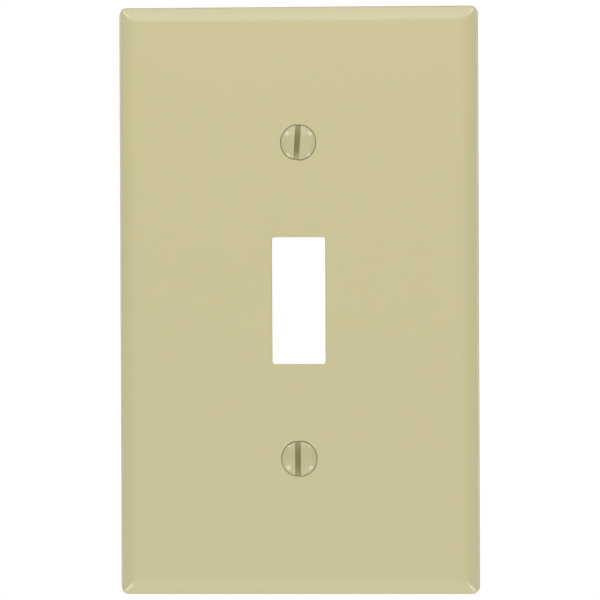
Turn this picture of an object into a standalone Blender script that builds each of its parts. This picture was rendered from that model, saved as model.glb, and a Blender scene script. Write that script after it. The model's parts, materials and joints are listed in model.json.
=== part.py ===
"""Cover plate of a one-gang toggle switch, with its two slotted oval-head screws.

The plate lies on a wall: +Z is up, +X is to the right, and its front faces -Y. The origin
is the middle of the plate's back, in the plane of the wall. Lengths are in metres, and a
height is a distance from the wall towards the front, so a point at height h has y = -h.
"""
import math

import bmesh
import bpy
from mathutils import Vector

INCH = 0.0254

# Plate, outside
PLATE_WIDTH = 2.75 * INCH
PLATE_HEIGHT = 4.5 * INCH
PLATE_DEPTH = 0.22 * INCH
CORNER_RADIUS = 0.0017
SIDE_DRAFT = math.radians(12)  # lean of the side wall, from upright to the wall
EDGE_RADIUS = 0.0006           # between the side wall and the curved bevel
BEVEL_WIDTH = 0.0030
BEVEL_SLOPE = math.radians(28)  # at the bevel's outer end, dying out at the flat face
MITRE_RADIUS = 0.00025         # of the creases where two bevels meet

# Plate, inside
RIM_WIDTH = 0.0019             # of the flat rim that rests on the wall
CAVITY_DRAFT = math.radians(7)
CAVITY_RADIUS = 0.0012
CAVITY_FILLET = 0.0008
FACE_THICKNESS = 0.0023
PART_DRAFT = math.radians(1.5)  # of the collar, bosses and ribs
COLLAR_WALL = 0.0016
COLLAR_END = 0.0012            # height at which the collar stops, above the wall
BOSS_RADIUS = 0.0048
BOSS_END = 0.0008
RIB_WIDTH = 0.0012
LONG_RIB_END = 0.0018
CROSS_RIB_END = 0.0020
LONG_RIB_X = 0.0165
CROSS_RIB_Z = 0.0105
RIB_CORNER = 0.0003            # rounding of a rib's four upright edges
RIB_BITE = 0.0005              # how far a rib runs into the rim's wall

# Toggle opening, measured just behind its rounded front edge
OPENING_WIDTH = 0.397 * INCH
OPENING_HEIGHT = 0.951 * INCH
OPENING_RADIUS = 0.0004        # of its corners
OPENING_DRAFT = math.radians(2.5)  # it widens towards the wall
OPENING_EDGE = 0.00025         # rounding where it meets the flat face

# 6-32 screws, 1/2 inch long, and the holes they sit in
SCREW_SPACING = 2.375 * INCH
SLOT_TURNS = {"upper_screw": math.radians(3.5), "lower_screw": 0.0}
COUNTERSINK_HALF_ANGLE = math.radians(41)
COUNTERSINK_RADIUS = 0.00355   # at the plate's face
CLEARANCE_RADIUS = 0.0021
HEAD_RADIUS = 0.00332
HEAD_LAND = 0.00012            # upright band round the head's widest part
HEAD_PROUD = 0.00012           # of the land's top edge, above the plate's face
DOME_HEIGHT = 0.00095
SLOT_WIDTH = 0.0011
SLOT_DEPTH = 0.0017
SLOT_CUTTER_LENGTH = 0.013     # longer than the head is wide
SCREW_LENGTH = 0.5 * INCH      # from the land's top edge to the tip
THREAD_PITCH = INCH / 32
THREAD_RADIUS = 0.0690 * INCH
ROOT_RADIUS = 0.0500 * INCH
TIP_RADIUS = 0.00095
TIP_CHAMFER = 0.0004
NECK_LENGTH = 0.0006           # plain stretch between head and thread
THREAD_FADE = 0.5              # turns over which the thread rises at either end
THREAD_MARGIN = THREAD_PITCH / 4   # least plain stretch at either end
# One turn's outline along the axis, in pitches, and how far out each corner stands:
# root flat, rising flank, crest flat, falling flank
THREAD_OUTLINE = ((0.0, 0.0), (0.25, 0.0), (0.5625, 1.0), (0.6875, 1.0))

# Fineness
CORNER_STEPS = 4
BEVEL_STEPS = 6
ROUND_STEPS = 3
HOLE_SIDES = 32
SCREW_SIDES = 24
DOME_STEPS = 4
OVERRUN = 0.001                # how far cutters and joined pieces run past a surface
SHARP_ANGLE = math.radians(35)

IVORY = (0.69, 0.62, 0.35)
IVORY_ROUGHNESS = 0.35
IVORY_PAINT = (0.61, 0.57, 0.32)
IVORY_PAINT_ROUGHNESS = 0.4


def clear_scene():
    """Remove whatever the file held before."""
    for item in list(bpy.data.objects):
        bpy.data.objects.remove(item, do_unlink=True)


def plain_material(name, colour, roughness):
    """A Principled material of one colour."""
    material = bpy.data.materials.new(name)
    material.use_nodes = True
    shader = material.node_tree.nodes["Principled BSDF"]
    shader.inputs["Base Color"].default_value = (*colour, 1.0)
    shader.inputs["Roughness"].default_value = roughness
    return material


def object_from(mesh, name):
    """Turn a bmesh into an object with outward faces, smooth on its round stretches."""
    bmesh.ops.recalc_face_normals(mesh, faces=mesh.faces)
    data = bpy.data.meshes.new(name)
    mesh.to_mesh(data)
    mesh.free()
    data.shade_smooth()
    data.set_sharp_from_angle(angle=SHARP_ANGLE)
    made = bpy.data.objects.new(name, data)
    bpy.context.scene.collection.objects.link(made)
    return made


def skin(mesh, loops):
    """Join matching loops of vertices with quads, one band after another."""
    for lower, upper in zip(loops, loops[1:]):
        for here in range(len(lower)):
            after = (here + 1) % len(lower)
            mesh.faces.new((lower[here], lower[after], upper[after], upper[here]))


def loft(name, rings):
    """A closed body through matching rings of points, with both ends filled."""
    mesh = bmesh.new()
    loops = [[mesh.verts.new(point) for point in ring] for ring in rings]
    skin(mesh, loops)
    mesh.faces.new(loops[0])
    mesh.faces.new(loops[-1])
    return object_from(mesh, name)


def rectangle_ring(half_width, half_height, radius, height, centre=(0.0, 0.0)):
    """A rectangle with round corners, parallel to the wall and at a height above it."""
    points = []
    for quarter, (side, end) in enumerate(((1, 1), (-1, 1), (-1, -1), (1, -1))):
        for step in range(CORNER_STEPS + 1):
            angle = (quarter + step / CORNER_STEPS) * math.pi / 2
            x = centre[0] + side * (half_width - radius) + radius * math.cos(angle)
            z = centre[1] + end * (half_height - radius) + radius * math.sin(angle)
            points.append(Vector((x, -height, z)))
    return points


def opening_rings():
    """Rings of the toggle opening, from behind the plate out through its rounded edge."""
    edge_height = PLATE_DEPTH - OPENING_EDGE
    back_flare = (edge_height + OVERRUN) * math.tan(OPENING_DRAFT)
    pairs = [(back_flare, -OVERRUN)]
    for step in range(ROUND_STEPS + 1):
        turn = math.pi / 2 * step / ROUND_STEPS
        pairs.append((OPENING_EDGE * (1 - math.cos(turn)),
                      edge_height + OPENING_EDGE * math.sin(turn)))
    pairs.append((OPENING_EDGE + OVERRUN, PLATE_DEPTH + OVERRUN))
    return [rectangle_ring(OPENING_WIDTH / 2 + flare, OPENING_HEIGHT / 2 + flare,
                           OPENING_RADIUS + flare, height)
            for flare, height in pairs]


def circle_ring(radius, height, sides, centre_z=0.0):
    """A circle parallel to the wall and at a height above it."""
    angles = [2 * math.pi * side / sides for side in range(sides)]
    return [Vector((radius * math.cos(a), -height, centre_z + radius * math.sin(a)))
            for a in angles]


def plate_profile():
    """Pairs (inset, height) from the rim on the wall, up the side and over the bevel.

    The bevel's slope grows from nothing at the flat face to BEVEL_SLOPE at its outer end,
    so its drop at a share u of the width is width * tan(slope) * (u^2 - u^3 / 3).
    """
    outward_drop = [(0.0, 0.0)]
    for step in range(1, BEVEL_STEPS + 1):
        share = step / BEVEL_STEPS
        drop = BEVEL_WIDTH * math.tan(BEVEL_SLOPE) * (share ** 2 - share ** 3 / 3)
        outward_drop.append((BEVEL_WIDTH * share, drop))
    bevel_out, bevel_drop = outward_drop[-1]
    steepest = math.pi / 2 - SIDE_DRAFT
    for step in range(1, ROUND_STEPS + 1):
        slope = BEVEL_SLOPE + (steepest - BEVEL_SLOPE) * step / ROUND_STEPS
        out = bevel_out + EDGE_RADIUS * (math.sin(slope) - math.sin(BEVEL_SLOPE))
        drop = bevel_drop + EDGE_RADIUS * (math.cos(BEVEL_SLOPE) - math.cos(slope))
        outward_drop.append((out, drop))
    edge_out, edge_drop = outward_drop[-1]
    full_out = edge_out + (PLATE_DEPTH - edge_drop) * math.tan(SIDE_DRAFT)
    outward_drop.append((full_out, PLATE_DEPTH))
    return [(full_out - out, PLATE_DEPTH - drop) for out, drop in reversed(outward_drop)]


def cavity_profile():
    """Pairs (inset, height) of the hollow back, from behind the rim to its ceiling."""
    ceiling = PLATE_DEPTH - FACE_THICKNESS
    pairs = [(RIM_WIDTH - OVERRUN * math.tan(CAVITY_DRAFT), -OVERRUN)]
    wall_top = ceiling - CAVITY_FILLET * (1 - math.sin(CAVITY_DRAFT))
    foot_inset = RIM_WIDTH + wall_top * math.tan(CAVITY_DRAFT)
    for step in range(ROUND_STEPS + 1):
        slope = CAVITY_DRAFT + (math.pi / 2 - CAVITY_DRAFT) * step / ROUND_STEPS
        inset = foot_inset + CAVITY_FILLET * (math.cos(CAVITY_DRAFT) - math.cos(slope))
        height = wall_top + CAVITY_FILLET * (math.sin(slope) - math.sin(CAVITY_DRAFT))
        pairs.append((inset, height))
    return pairs


def inset_rings(profile, corner_radius, least_radius):
    """Rings of the plate's outline, moved inwards by each inset of a profile."""
    return [rectangle_ring(PLATE_WIDTH / 2 - inset, PLATE_HEIGHT / 2 - inset,
                           max(corner_radius - inset, least_radius), height)
            for inset, height in profile]


def tapered_block(name, half_width, half_height, radius, end, centre=(0.0, 0.0)):
    """A moulded block that stands on the cavity's ceiling and narrows towards its end."""
    root = PLATE_DEPTH - FACE_THICKNESS + FACE_THICKNESS / 2
    flare = (root - end) * math.tan(PART_DRAFT)
    wide = rectangle_ring(half_width + flare, half_height + flare, radius, root, centre)
    narrow = rectangle_ring(half_width, half_height, radius, end, centre)
    return loft(name, [narrow, wide])


def round_boss(name, centre_z):
    """The round boss behind a screw hole."""
    root = PLATE_DEPTH - FACE_THICKNESS + FACE_THICKNESS / 2
    wide_radius = BOSS_RADIUS + (root - BOSS_END) * math.tan(PART_DRAFT)
    return loft(name, [circle_ring(BOSS_RADIUS, BOSS_END, HOLE_SIDES, centre_z),
                       circle_ring(wide_radius, root, HOLE_SIDES, centre_z)])


def screw_hole(name, centre_z):
    """Cutter of a countersunk hole: a cone in the face, then a plain clearance bore."""
    spread = math.tan(COUNTERSINK_HALF_ANGLE)
    cone_end = PLATE_DEPTH - (COUNTERSINK_RADIUS - CLEARANCE_RADIUS) / spread
    outer_radius = COUNTERSINK_RADIUS + OVERRUN * spread
    return loft(name, [
        circle_ring(CLEARANCE_RADIUS, -OVERRUN, HOLE_SIDES, centre_z),
        circle_ring(CLEARANCE_RADIUS, cone_end, HOLE_SIDES, centre_z),
        circle_ring(outer_radius, PLATE_DEPTH + OVERRUN, HOLE_SIDES, centre_z)])


def combine(target, helper, operation):
    """Cut or join a helper piece with a Boolean, and keep the helper out of sight."""
    step = target.modifiers.new(helper.name, "BOOLEAN")
    step.object = helper
    step.operation = operation
    step.solver = "EXACT"
    helper.hide_render = True
    helper.display_type = "WIRE"
    helper.parent = target


def build_stiffening(plate):
    """Collar, bosses and ribs on the back of the face."""
    collar = tapered_block("collar", OPENING_WIDTH / 2 + COLLAR_WALL,
                           OPENING_HEIGHT / 2 + COLLAR_WALL,
                           OPENING_RADIUS + COLLAR_WALL / 2, COLLAR_END)
    combine(plate, collar, "UNION")
    side_reach = PLATE_WIDTH / 2 - RIM_WIDTH + RIB_BITE
    end_reach = PLATE_HEIGHT / 2 - RIM_WIDTH + RIB_BITE
    for sign in (1, -1):
        boss = round_boss(f"boss_{sign}", sign * SCREW_SPACING / 2)
        combine(plate, boss, "UNION")
        rib = tapered_block(f"long_rib_{sign}", RIB_WIDTH / 2, end_reach, RIB_CORNER,
                            LONG_RIB_END, (sign * LONG_RIB_X, 0.0))
        combine(plate, rib, "UNION")
    for centre_z in (SCREW_SPACING / 2, CROSS_RIB_Z, -CROSS_RIB_Z, -SCREW_SPACING / 2):
        rib = tapered_block(f"cross_rib_{centre_z:.4f}", side_reach, RIB_WIDTH / 2,
                            RIB_CORNER, CROSS_RIB_END, (0.0, centre_z))
        combine(plate, rib, "UNION")


def build_wall_plate():
    """The moulded cover plate."""
    plate = loft("wall_plate", inset_rings(plate_profile(), CORNER_RADIUS, MITRE_RADIUS))
    cavity = loft("cavity", inset_rings(cavity_profile(), RIM_WIDTH + CAVITY_RADIUS,
                                        CAVITY_RADIUS))
    combine(plate, cavity, "DIFFERENCE")
    build_stiffening(plate)
    combine(plate, loft("opening", opening_rings()), "DIFFERENCE")
    for sign in (1, -1):
        hole = screw_hole(f"hole_{sign}", sign * SCREW_SPACING / 2)
        combine(plate, hole, "DIFFERENCE")
    plate.data.materials.append(plain_material("ivory_plastic", IVORY, IVORY_ROUGHNESS))


def head_rings():
    """Rings of the screw's head, from the neck up the cone and over the dome.

    The screw's own Z axis points out of the head, with zero at the land's top edge. The
    dome is a cap of a sphere, closed by a small ring that its last face fills.
    """
    cone_length = (HEAD_RADIUS - ROOT_RADIUS) / math.tan(COUNTERSINK_HALF_ANGLE)
    cone_end = -HEAD_LAND - cone_length
    rings = [(ROOT_RADIUS, cone_end - NECK_LENGTH), (ROOT_RADIUS, cone_end),
             (HEAD_RADIUS, -HEAD_LAND), (HEAD_RADIUS, 0.0)]
    sphere_radius = (HEAD_RADIUS ** 2 + DOME_HEIGHT ** 2) / (2 * DOME_HEIGHT)
    widest_angle = math.asin(HEAD_RADIUS / sphere_radius)
    for step in range(1, DOME_STEPS):
        angle = widest_angle * (1 - step / DOME_STEPS)
        rise = sphere_radius * (math.cos(angle) - math.cos(widest_angle))
        rings.append((sphere_radius * math.sin(angle), rise))
    return rings


def screw_point(radius, angle, z):
    """A point on the screw in cylindrical coordinates about its own axis."""
    return Vector((radius * math.cos(angle), radius * math.sin(angle), z))


def thread_grid(mesh, start, turns):
    """Vertices of a right-hand thread: one row along the helix for each outline corner.

    Column n stands at n sides round the axis and has climbed n sides' share of the pitch.
    The first row runs one turn further, where it is also the top edge of the last turn.
    """
    columns = turns * SCREW_SIDES
    grid = []
    for row, (share, reach) in enumerate(THREAD_OUTLINE):
        length = columns + 1 + (SCREW_SIDES if row == 0 else 0)
        line = []
        for column in range(length):
            climbed = column / SCREW_SIDES
            fade = min(1.0, climbed / THREAD_FADE, max(0.0, turns - climbed) / THREAD_FADE)
            radius = ROOT_RADIUS + (THREAD_RADIUS - ROOT_RADIUS) * reach * fade
            z = start + THREAD_PITCH * (climbed + share)
            line.append(mesh.verts.new(screw_point(radius, 2 * math.pi * climbed, z)))
        grid.append(line)
    return grid


def build_thread(mesh, top_loop, tip_loop, top_z, tip_z):
    """Join the neck's loop to the tip's loop with a helical thread between them."""
    turns = int((top_z - tip_z - 2 * THREAD_MARGIN) / THREAD_PITCH) - 1
    start = tip_z + (top_z - tip_z - (turns + 1) * THREAD_PITCH) / 2
    grid = thread_grid(mesh, start, turns)
    rows = len(grid)
    columns = turns * SCREW_SIDES

    def vertex(column, row):
        return grid[0][column + SCREW_SIDES] if row == rows else grid[row][column]

    for column in range(columns):
        for row in range(rows):
            mesh.faces.new((vertex(column, row), vertex(column + 1, row),
                            vertex(column + 1, row + 1), vertex(column, row + 1)))
    last = SCREW_SIDES - 1
    for side in range(SCREW_SIDES):
        after = (side + 1) % SCREW_SIDES
        below = [tip_loop[side], tip_loop[after], vertex(side + 1, 0), vertex(side, 0)]
        if side == last:
            below[2:3] = [vertex(0, row) for row in range(rows + 1)]
        mesh.faces.new(below)
        above = [vertex(columns + side, 0), vertex(columns + side + 1, 0),
                 top_loop[after], top_loop[side]]
        if side == 0:
            above += [vertex(columns, row) for row in range(rows, 0, -1)]
        mesh.faces.new(above)


def build_screw(name, centre_z):
    """One machine screw, with its slot cut across the dome."""
    mesh = bmesh.new()
    angles = [2 * math.pi * side / SCREW_SIDES for side in range(SCREW_SIDES)]
    head = [[mesh.verts.new(screw_point(radius, angle, z)) for angle in angles]
            for radius, z in head_rings()]
    skin(mesh, head)
    mesh.faces.new(head[-1])
    tip_z = -SCREW_LENGTH
    tip = [[mesh.verts.new(screw_point(radius, angle, z)) for angle in angles]
           for radius, z in ((TIP_RADIUS, tip_z), (ROOT_RADIUS, tip_z + TIP_CHAMFER))]
    skin(mesh, tip)
    mesh.faces.new(tip[0])
    build_thread(mesh, head[0], tip[1], head_rings()[0][1], tip_z + TIP_CHAMFER)
    screw = object_from(mesh, name)
    screw.location = (0.0, -(PLATE_DEPTH + HEAD_PROUD), centre_z)
    screw.rotation_euler = (math.pi / 2, SLOT_TURNS[name], 0.0)

    slot_mesh = bmesh.new()
    bmesh.ops.create_cube(slot_mesh, size=1.0)
    slot = object_from(slot_mesh, f"{name}_slot")
    slot.scale = (SLOT_WIDTH, SLOT_CUTTER_LENGTH, SLOT_DEPTH + OVERRUN)
    slot.location = (0.0, 0.0, DOME_HEIGHT + (OVERRUN - SLOT_DEPTH) / 2)
    combine(screw, slot, "DIFFERENCE")
    paint = plain_material(f"{name}_paint", IVORY_PAINT, IVORY_PAINT_ROUGHNESS)
    screw.data.materials.append(paint)


def main():
    clear_scene()
    build_wall_plate()
    build_screw("upper_screw", SCREW_SPACING / 2)
    build_screw("lower_screw", -SCREW_SPACING / 2)


if __name__ == "__main__":
    main()
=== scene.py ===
"""Finished look of a one-gang toggle switch cover plate and its two oval-head screws.

Everything is in metres, +Z up, with the front facing -Y. The origin is the middle of the
plate's back, in the wall's plane. A height is a distance from the wall towards the front,
so a point at height h has y = -h.
"""

import json
import math

import bmesh
import bpy
import numpy as np
from bpy.props import FloatProperty, FloatVectorProperty, PointerProperty
from mathutils import Matrix, Vector


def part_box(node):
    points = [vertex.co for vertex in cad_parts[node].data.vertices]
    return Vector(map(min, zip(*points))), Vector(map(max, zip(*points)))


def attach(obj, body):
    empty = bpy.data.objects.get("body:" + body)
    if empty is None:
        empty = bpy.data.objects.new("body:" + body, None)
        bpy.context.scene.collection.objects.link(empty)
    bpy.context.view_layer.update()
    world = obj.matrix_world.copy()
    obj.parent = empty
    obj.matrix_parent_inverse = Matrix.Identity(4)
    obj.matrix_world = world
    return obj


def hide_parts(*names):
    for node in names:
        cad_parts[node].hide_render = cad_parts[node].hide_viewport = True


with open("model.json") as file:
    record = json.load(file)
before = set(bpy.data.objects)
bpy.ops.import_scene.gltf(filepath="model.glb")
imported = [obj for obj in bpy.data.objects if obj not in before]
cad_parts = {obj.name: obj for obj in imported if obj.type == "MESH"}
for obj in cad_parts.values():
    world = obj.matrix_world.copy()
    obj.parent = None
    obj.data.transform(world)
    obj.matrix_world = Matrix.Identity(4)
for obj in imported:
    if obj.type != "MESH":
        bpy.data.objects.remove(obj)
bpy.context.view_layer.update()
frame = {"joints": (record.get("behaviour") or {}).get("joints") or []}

bl_info = {
    "name": "Switch cover plate",
    "version": (1, 0, 0),
    "blender": (4, 5, 0),
    "location": "3D View > Sidebar > Cover plate",
    "description": "Builds a moulded switch cover plate, its screws and a small studio",
    "category": "Object",
}

PLATE_LOW, PLATE_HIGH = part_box("wall_plate")
HEAD_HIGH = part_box("upper_screw")[1]
HALF_WIDTH = PLATE_HIGH.x
HALF_HEIGHT = PLATE_HIGH.z
DEPTH = -PLATE_LOW.y
SCREW_AXES = {joint["child"]: joint["pos_m"] for joint in frame["joints"]}
SCREW_Z = SCREW_AXES["upper_screw"][2]

MILLIMETRE = 0.001
WELD = 2e-7                  # points nearer than this are the same point
HOLD = 0.03 * MILLIMETRE     # of the extra rows that keep a flat face flat beside a curve
ARC_STEPS = 5                # facets in a small rounded edge


# ---------------------------------------------------------------------------
# Sizes and colours that a user may change
# ---------------------------------------------------------------------------

def length(name, description, millimetres):
    """A length, given in millimetres and kept in metres."""
    return FloatProperty(name=name, description=description, min=0.0, unit="LENGTH",
                         default=millimetres * MILLIMETRE, precision=5)


def angle(name, description, degrees):
    """An angle, given in degrees and kept in radians."""
    return FloatProperty(name=name, description=description, default=math.radians(degrees),
                         unit="ROTATION", precision=3)


def colour(name, description, value):
    """A linear colour of red, green and blue."""
    return FloatVectorProperty(name=name, description=description, default=value, size=3,
                               min=0.0, max=1.0, subtype="COLOR")


def share(name, description, value):
    """A share from 0 to 1."""
    return FloatProperty(name=name, description=description, default=value, min=0.0,
                         soft_max=1.0, subtype="FACTOR")


class CoverPlateSizes(bpy.types.PropertyGroup):
    corner_radius: length("Corner radius", "Of the outline's four corners", 1.7)
    side_draft: angle("Side draft", "Lean of the side wall", 12.0)
    edge_radius: length("Edge radius", "Between the side wall and the bevel", 0.6)
    bevel_width: length("Bevel width", "Of the curved bevel round the face", 3.0)
    bevel_slope: angle("Bevel slope", "At the bevel's outer end", 28.0)
    mitre_radius: length("Mitre radius", "Of the creases where bevels meet", 0.9)
    rim_width: length("Rim width", "Of the flat rim that rests on the wall", 1.9)
    rim_edge: length("Rim edge", "Rounding of the rim's two edges", 0.12)
    face_thickness: length("Face thickness", "Of the plate behind its face", 2.3)
    cavity_draft: angle("Cavity draft", "Lean of the cavity's wall", 7.0)
    cavity_fillet: length("Cavity fillet", "Between cavity wall and ceiling", 0.8)
    moulding_draft: angle("Moulding draft", "Lean of collar, bosses and ribs", 1.5)
    foot_fillet: length("Foot fillet", "At the foot of collar, bosses and ribs", 0.4)
    opening_width: length("Opening width", "Behind its rounded front edge", 10.0838)
    opening_height: length("Opening height", "Behind its rounded front edge", 24.1554)
    opening_corner: length("Opening corner", "Radius of the opening's corners", 0.4)
    opening_edge: length("Opening edge", "Rounding at the flat face", 0.25)
    opening_draft: angle("Opening draft", "It widens towards the wall", 2.5)
    collar_wall: length("Collar wall", "Thickness round the opening", 1.6)
    collar_end: length("Collar end", "Height above the wall", 1.2)
    boss_radius: length("Boss radius", "Of the bosses behind the screws", 4.8)
    boss_end: length("Boss end", "Height above the wall", 0.8)
    rib_width: length("Rib width", "Of every rib", 1.2)
    long_rib_x: length("Long rib place", "Distance from the middle line", 16.5)
    long_rib_end: length("Long rib end", "Height above the wall", 1.8)
    cross_rib_z: length("Cross rib place", "Distance from the middle", 10.5)
    cross_rib_end: length("Cross rib end", "Height above the wall", 2.0)
    countersink_radius: length("Countersink radius", "At the flat face", 3.50)
    countersink_edge: length("Countersink edge", "Rounding at the flat face", 0.12)
    clearance_radius: length("Clearance radius", "Of the screw holes", 2.1)
    pin_mark_radius: length("Pin mark radius", "Of the ejector pin marks", 1.75)
    pin_mark_depth: length("Pin mark depth", "Sunk into the ceiling", 0.12)


class ScrewSizes(bpy.types.PropertyGroup):
    proud: length("Proud", "Of the land's top edge, above the plate's face", 0.12)
    land: length("Land", "Upright band round the head", 0.12)
    dome: length("Dome", "Rise of the head above its land", 0.895)
    cone_angle: angle("Cone angle", "From the axis to the head's cone", 41.0)
    slot_width: length("Slot width", "Across the slot", 1.06)
    slot_depth: length("Slot depth", "Below the top of the dome", 1.66)
    slot_bow: length("Slot bow", "Rise of the slot's floor towards its ends", 0.5)
    slot_edge: length("Slot edge", "Rounding of the slot's upper edges", 0.07)
    upper_offset: length("Upper offset", "Of the upper slot, to the left", 0.18)
    lower_offset: length("Lower offset", "Of the lower slot, to the left", 0.23)
    upper_turn: angle("Upper slot", "Turn of the upper slot from upright", 3.5)
    lower_turn: angle("Lower slot", "Turn of the lower slot from upright", 0.0)
    neck: length("Neck", "Plain stretch between head and thread", 0.6)
    root_radius: length("Root radius", "Of the thread's root", 1.27)
    thread_radius: length("Thread radius", "Of the thread's crest", 1.7526)
    pitch: length("Pitch", "Advance of the thread in one turn", 0.79375)
    tip_radius: length("Tip radius", "Of the flat end", 0.95)
    tip_chamfer: length("Tip chamfer", "Length of the tip's chamfer", 0.4)


class FinishColours(bpy.types.PropertyGroup):
    plastic: colour("Plastic", "Ivory moulding plastic", (0.650, 0.588, 0.336))
    paint: colour("Paint", "Enamel on the screw heads", (0.586, 0.549, 0.317))
    # Painted shade: a darker enamel colour down in the slot that stands in for the shade
    # there.
    slot_shade: colour("Recess", "Thinner enamel down in the slot", (0.475, 0.455, 0.207))
    zinc: colour("Zinc", "Bright plating on shank and thread", (0.72, 0.73, 0.74))
    floor: colour("Floor", "Studio floor", (0.86, 0.86, 0.85))
    gloss: share("Face roughness", "Roughness of the plate's polished front", 0.25)
    matt: share("Back roughness", "Roughness of the plate's moulded back", 0.5)
    enamel_gloss: share("Enamel roughness", "Roughness of the screw heads", 0.21)
    zinc_gloss: share("Zinc roughness", "Roughness of the bare plating", 0.3)


class StageSettings(bpy.types.PropertyGroup):
    camera_distance: length("Camera distance", "In front of the wall's plane", 280.73)
    camera_right: length("Camera right", "To the right of the middle", 5.73)
    camera_up: length("Camera up", "Above the middle", 0.65)
    camera_pan: angle("Camera pan", "Turn to the left", 1.144)
    camera_tilt: angle("Camera tilt", "Turn upwards", -0.112)
    camera_roll: angle("Camera roll", "Turn about the view", 0.228)
    focal_length: FloatProperty(name="Focal length", description="On a 36 mm sensor",
                                default=86.59, min=1.0, subtype="DISTANCE_CAMERA")
    floor_drop: length("Floor drop", "Of the floor below the plate", 600.0)


# ---------------------------------------------------------------------------
# Surfaces from grids of points
# ---------------------------------------------------------------------------

def rounded_profile(corners, steps=ARC_STEPS):
    """Points along a broken line whose corners are arcs.

    Each corner is (a, b, radius). For unit vectors e and f from the corner P towards its
    neighbours, with an angle t between them, the arc's centre is P + r / sin(t/2) along
    the line that halves the angle, and it touches the legs at r / tan(t/2) from P. The
    arc is a turn of the spoke to the first leg into the spoke to the second. A row at a
    small distance before and after each arc holds the flat stretches flat.
    """
    points = [np.array([corners[0][:2]])]
    for before, here, after in zip(corners, corners[1:], corners[2:]):
        corner = np.array(here[:2])
        legs = np.array([before[:2], after[:2]]) - corner
        legs /= np.linalg.norm(legs, axis=1, keepdims=True)
        radius = here[2]
        if radius == 0:
            points.append(corner[None])
            continue
        half = math.acos(np.clip(legs[0] @ legs[1], -1, 1)) / 2
        middle = (legs[0] + legs[1]) / np.linalg.norm(legs[0] + legs[1])
        centre = corner + middle * radius / math.sin(half)
        touch = corner + legs * radius / math.tan(half)
        spokes = (touch - centre) / radius
        turn = math.pi - 2 * half
        part = np.linspace(0, 1, steps + 1)[:, None]
        arc = (np.sin((1 - part) * turn) * spokes[0] + np.sin(part * turn) * spokes[1])
        arc = centre + radius * arc / math.sin(turn)
        points += [touch[:1] + legs[:1] * HOLD, arc, touch[1:] + legs[1:] * HOLD]
    points.append(np.array([corners[-1][:2]]))
    return np.concatenate(points)


def grid_quads(rows, columns, around):
    """Corner numbers of a grid's quads; a grid that goes around joins its last column."""
    numbers = np.arange(rows * columns).reshape(rows, columns)
    if around:
        numbers = np.hstack([numbers, numbers[:, :1]])
    return np.stack([numbers[:-1, :-1], numbers[:-1, 1:], numbers[1:, 1:],
                     numbers[1:, :-1]], axis=-1)


def new_object(name, data):
    """An object linked to the scene, at the origin."""
    item = bpy.data.objects.new(name, data)
    bpy.context.scene.collection.objects.link(item)
    return item


def weld_sheets(name, sheets, sharp_degrees=32):
    """One closed mesh from grids of points that meet along their edges.

    Each sheet is (points, around, kept), where kept is None or says which quads stay.
    Points that coincide are merged, which also turns a quad with a collapsed side into a
    triangle. Curved stretches are shaded smooth.
    """
    corners, quads, start = [], [], 0
    for points, around, kept in sheets:
        rows, columns = points.shape[:2]
        cells = grid_quads(rows, columns, around)
        cells = cells.reshape(-1, 4) if kept is None else cells[kept]
        corners.append(points.reshape(-1, 3))
        quads.append(cells + start)
        start += rows * columns
    corners, quads = np.concatenate(corners), np.concatenate(quads)
    used, renumbered = np.unique(quads, return_inverse=True)
    data = bpy.data.meshes.new(name)
    data.from_pydata(corners[used].tolist(), [], renumbered.reshape(-1, 4).tolist())
    welded = bmesh.new()
    welded.from_mesh(data)
    bmesh.ops.remove_doubles(welded, verts=welded.verts, dist=WELD)
    bmesh.ops.recalc_face_normals(welded, faces=welded.faces)
    loose = sum(not edge.is_manifold for edge in welded.edges)
    welded.to_mesh(data)
    welded.free()
    if loose:
        raise RuntimeError(f"{name} has {loose} open edges")
    data.shade_smooth()
    data.set_sharp_from_angle(angle=math.radians(sharp_degrees))
    return new_object(name, data)


def place(across, up, heights):
    """World points from the plan position and the height above the wall."""
    across, up, heights = np.broadcast_arrays(across, up, heights)
    return np.stack([across, -heights, up], axis=-1)


# ---------------------------------------------------------------------------
# Cover plate
# ---------------------------------------------------------------------------

ISLAND = 8.2 * MILLIMETRE        # half width of the patches round the holes
OPENING_ISLAND = 15.4 * MILLIMETRE   # half height of the patch round the toggle opening
BORDER = 5.0 * MILLIMETRE        # width of the band that holds bevel, side and rim
PIN_PATCH = 2.4 * MILLIMETRE     # half width of the patch round an ejector pin mark
PIN_PLACES = [(side * 25.5 * MILLIMETRE, up * 46.0 * MILLIMETRE)
              for side in (-1, 1) for up in (-1, 0, 1)]
STRAIGHT_NEAR_RIB = 1.25 * MILLIMETRE  # half width of the strip kept straight for a rib
COLLAR_KNEE = 11.6 * MILLIMETRE       # the same, from the middle, along the collar
CORNER_STEPS = 10
BEVEL_STEPS = 16
COARSE = 2.5 * MILLIMETRE        # widest spacing of the grid lines
FINE = 0.8 * MILLIMETRE          # the same round the screw holes
FINEST = 0.5 * MILLIMETRE        # and round the pin marks


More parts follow.
